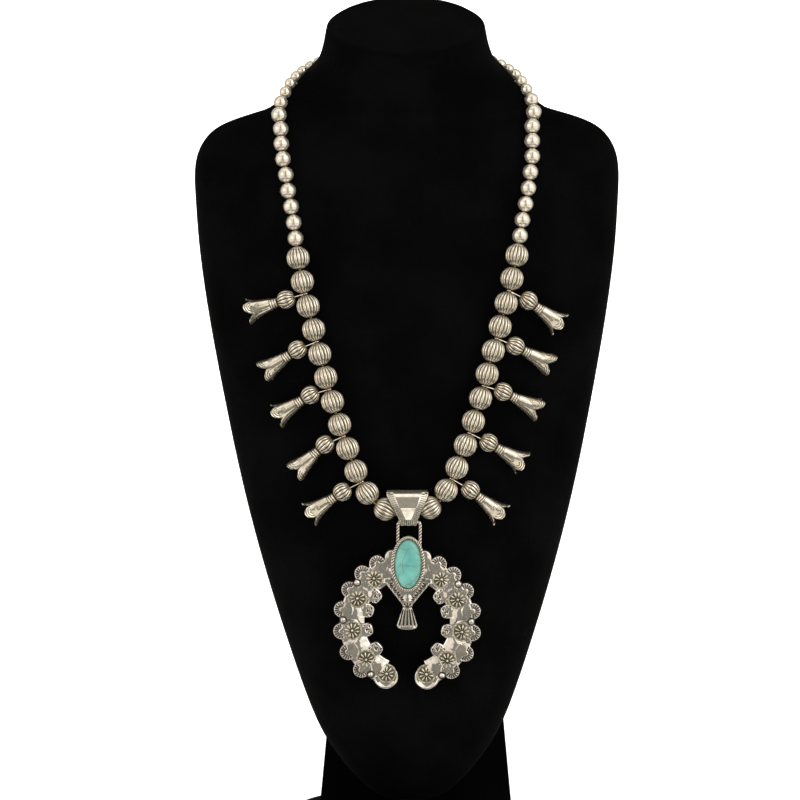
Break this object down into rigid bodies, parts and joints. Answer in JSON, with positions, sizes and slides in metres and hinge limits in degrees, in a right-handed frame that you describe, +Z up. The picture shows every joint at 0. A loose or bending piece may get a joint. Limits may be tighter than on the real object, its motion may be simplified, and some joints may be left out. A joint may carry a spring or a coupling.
{
  "type": "squash blossom necklace on a neck bust",
  "caption": "Silver bead necklace with squash blossoms, a bail and a crescent naja pendant set with an oval turquoise, on a plain velvet neck bust with a round foot.",
  "frame": {"origin": "centre of the underside of the bust's foot", "axes": "+Z up, front of the necklace and bust faces -Y, +X to the viewer's right; the necklace hangs about the plane X = 0"},
  "size_m": [0.213, 0.1273, 0.423],
  "materials": {
    "velvet": "matte black velvet",
    "thread": "waxed thread",
    "polished_silver": "polished silver, lightly worn",
    "bead_silver": "silver with dark oxidised flutes",
    "cast_silver": "cast silver with dark recesses",
    "turquoise": "polished turquoise with fine brown veins"
  },
  "bodies": {
    "root": {"neck_bust": "velvet", "bust_foot": "velvet", "thread": "thread", "clasp": "polished_silver", "bail": "polished_silver", "smooth_beads_left": "polished_silver", "smooth_beads_right": "polished_silver", "fluted_bead_left_1": "bead_silver", "fluted_bead_left_2": "bead_silver", "fluted_bead_left_3": "bead_silver", "fluted_bead_left_4": "bead_silver", "fluted_bead_left_5": "bead_silver", "fluted_bead_left_6": "bead_silver", "fluted_bead_left_7": "bead_silver", "fluted_bead_left_8": "bead_silver", "fluted_bead_left_9": "bead_silver", "fluted_bead_left_10": "bead_silver", "fluted_bead_left_11": "bead_silver", "fluted_bead_left_12": "bead_silver", "fluted_bead_right_1": "bead_silver", "fluted_bead_right_2": "bead_silver", "fluted_bead_right_3": "bead_silver", "fluted_bead_right_4": "bead_silver", "fluted_bead_right_5": "bead_silver", "fluted_bead_right_6": "bead_silver", "fluted_bead_right_7": "bead_silver", "fluted_bead_right_8": "bead_silver", "fluted_bead_right_9": "bead_silver", "fluted_bead_right_10": "bead_silver", "fluted_bead_right_11": "bead_silver", "fluted_bead_right_12": "bead_silver", "blossom_left_1": "bead_silver", "blossom_left_2": "bead_silver", "blossom_left_3": "bead_silver", "blossom_left_4": "bead_silver", "blossom_left_5": "bead_silver", "blossom_right_1": "bead_silver", "blossom_right_2": "bead_silver", "blossom_right_3": "bead_silver", "blossom_right_4": "bead_silver", "blossom_right_5": "bead_silver"},
    "pendant": {"naja": "cast_silver", "turquoise": "turquoise"}
  },
  "joints": [
    {"name": "naja_swing", "type": "hinge", "parent": "root", "child": "pendant", "pos_m": [0.0006, -0.06001, 0.1644], "axis": [-0.9999, 0, 0.014], "range_deg": [-4, 80]}
  ]
}
